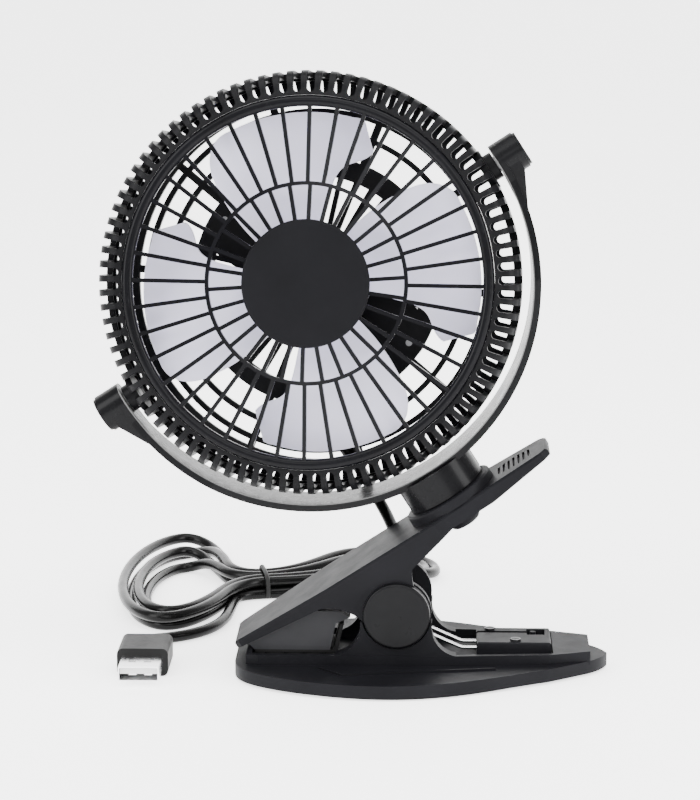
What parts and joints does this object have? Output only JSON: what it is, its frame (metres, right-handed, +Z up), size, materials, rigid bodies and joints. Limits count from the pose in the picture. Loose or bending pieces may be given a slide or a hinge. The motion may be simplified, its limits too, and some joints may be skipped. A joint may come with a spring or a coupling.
{
  "type": "clip-on desk fan",
  "caption": "Small caged fan in a tilting, swivelling yoke on a sprung clip that also stands flat, with a fixed USB lead tied in a hank.",
  "frame": {"origin": "centre of the clip's foot, on the surface it stands on", "axes": "+Z up, +X toward the clip's handle, -Y is the front where the air leaves"},
  "size_m": [0.1556, 0.1771, 0.1778],
  "materials": {
    "clip_plastic": "satin moulded",
    "jaw_plastic": "satin moulded",
    "pad_rubber": "matte",
    "screw_steel": "plated",
    "black_steel": "black oxide",
    "cap_plastic": "semi-gloss",
    "spring_wire": "drawn wire",
    "cord_sheath": "soft PVC",
    "tie_wire": "plastic coated",
    "plug_plastic": "satin",
    "plug_metal": "plated steel",
    "plug_insulator": "moulded",
    "yoke_plastic": "semi-gloss",
    "grille_plastic": "gloss",
    "badge_plastic": "matte",
    "rim_plastic": "satin",
    "board": "solder mask",
    "motor_steel": "zinc plated",
    "bush_brass": "sintered",
    "magnet": "sintered ferrite",
    "blade_plastic": "translucent satin"
  },
  "bodies": {
    "base": {"base_body": "clip_plastic", "base_foot_pad": "pad_rubber", "lower_jaw_pad": "pad_rubber", "spring_retainer": "clip_plastic", "retainer_screws": "black_steel", "pivot_pin": "screw_steel", "pivot_cap_front": "cap_plastic", "pivot_cap_rear": "cap_plastic", "torsion_spring": "spring_wire", "cord_drop": "cord_sheath", "cord_lead": "cord_sheath", "cord_hank": "cord_sheath", "cord_tie": "tie_wire", "usb_plug_body": "plug_plastic", "usb_plug_shell": "plug_metal", "usb_plug_tongue": "plug_insulator"},
    "clip_lever": {"lever_body": "clip_plastic", "swivel_collar": "clip_plastic", "upper_jaw_block": "jaw_plastic", "upper_jaw_pad": "pad_rubber"},
    "yoke": {"yoke": "yoke_plastic", "swivel_washer": "screw_steel", "swivel_nut": "clip_plastic", "yoke_caps": "cap_plastic"},
    "head": {"front_grille": "grille_plastic", "badge_disc": "badge_plastic", "guard_rim": "rim_plastic", "tilt_pins": "screw_steel", "rear_guard": "rim_plastic", "motor_housing": "rim_plastic", "housing_screws": "screw_steel", "motor_screws": "screw_steel", "circuit_board": "board", "switch_frame": "cap_plastic", "strain_relief": "cord_sheath", "motor_can": "motor_steel", "motor_end_cap": "cap_plastic", "front_bush": "bush_brass", "rear_bush": "bush_brass", "field_magnet": "magnet"},
    "rotor": {"armature": "motor_steel", "motor_shaft": "screw_steel", "impeller": "blade_plastic"},
    "switch": {"switch_rocker": "cap_plastic"}
  },
  "joints": [
    {"name": "clip_open", "type": "hinge", "parent": "base", "child": "clip_lever", "pos_m": [-0.0072, 0, 0.0199], "axis": [0, 1, 0], "range_deg": [0, 24], "stiffness_Nm_per_rad": 0.6, "springref_deg": -63.03, "deforming": ["torsion_spring", "cord_drop"]},
    {"name": "yoke_swivel", "type": "hinge", "parent": "clip_lever", "child": "yoke", "pos_m": [0.01861, 0, 0.03653], "axis": [-0.5417, 0, 0.8406], "range_deg": [-170, 170], "deforming": ["cord_drop"]},
    {"name": "head_tilt", "type": "hinge", "parent": "yoke", "child": "head", "pos_m": [-0.03264, 0, 0.11605], "axis": [0.8403, 0.0262, 0.5415], "range_deg": [-81.6, 98.4], "deforming": ["cord_drop"]},
    {"name": "rotor_spin", "type": "hinge", "parent": "head", "child": "rotor", "pos_m": [-0.03264, 0, 0.11605], "axis": [-0.0574, -0.9889, 0.1368], "continuous": true},
    {"name": "switch_rock", "type": "hinge", "parent": "head", "child": "switch", "pos_m": [-0.04868, 0.02809, 0.12381], "axis": [0.5484, 0.0833, 0.8321], "range_deg": [-8, 8]}
  ]
}
